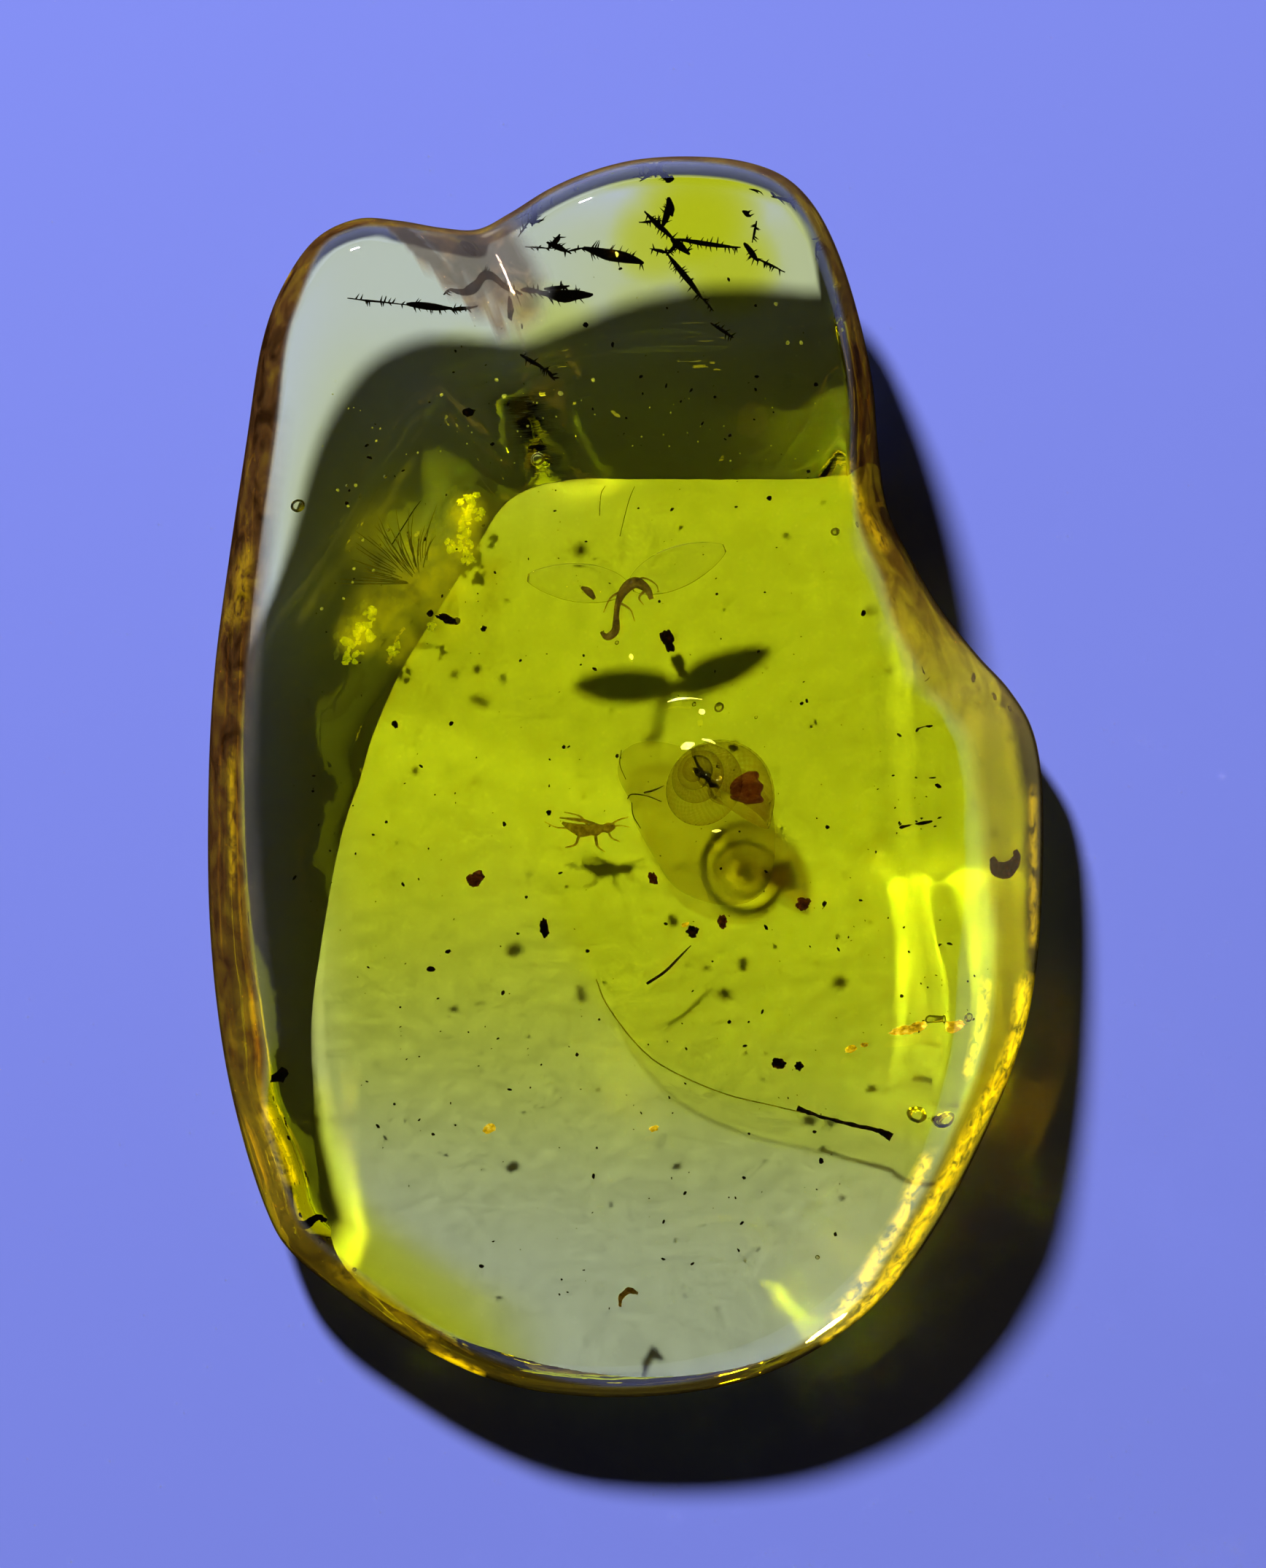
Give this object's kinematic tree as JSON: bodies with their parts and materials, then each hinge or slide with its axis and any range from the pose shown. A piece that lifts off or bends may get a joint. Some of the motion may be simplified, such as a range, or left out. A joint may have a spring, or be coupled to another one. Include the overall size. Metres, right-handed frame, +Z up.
{
  "type": "amber fossil",
  "caption": "Flat, polished nugget of clear yellow amber with a humped end, sealing a coiled land snail, a gnat, a bark louse, loose insect legs and forest litter.",
  "frame": {"origin": "under the middle of the outline, on the flat underside", "axes": "+Z up from the flat underside, +Y towards the humped end, +X to the right seen from above"},
  "size_m": [0.0284, 0.042, 0.0088],
  "materials": {
    "amber": "polished clear amber",
    "shell": "thin glossy shell",
    "dried_body": "dried, matte",
    "chitin": "dark chitin, slightly glossy",
    "membrane": "thin brown insect skin",
    "bark": "dark crumbled bark, matte",
    "husk": "golden brown plant husk"
  },
  "bodies": {
    "root": {"amber_upper": "amber", "amber_lower": "amber", "snail_shell": "shell", "snail_body": "dried_body", "gnat": "membrane", "bark_louse": "membrane", "insect_leg_1": "chitin", "insect_leg_2": "chitin", "insect_leg_3": "chitin", "insect_leg_4": "chitin", "insect_leg_5": "chitin", "insect_leg_6": "chitin", "insect_leg_7": "chitin", "curled_frass": "bark", "seed_coat": "husk", "bud_scale": "bark", "plant_fibre": "bark", "bark_chip_1": "bark", "bark_chip_2": "bark", "bark_chip_3": "bark", "bark_chip_4": "bark", "bark_chip_5": "bark", "bark_chip_6": "bark", "bark_chip_7": "bark", "bark_chip_8": "bark", "bark_chip_9": "bark", "bark_chip_10": "bark"}
  },
  "joints": []
}
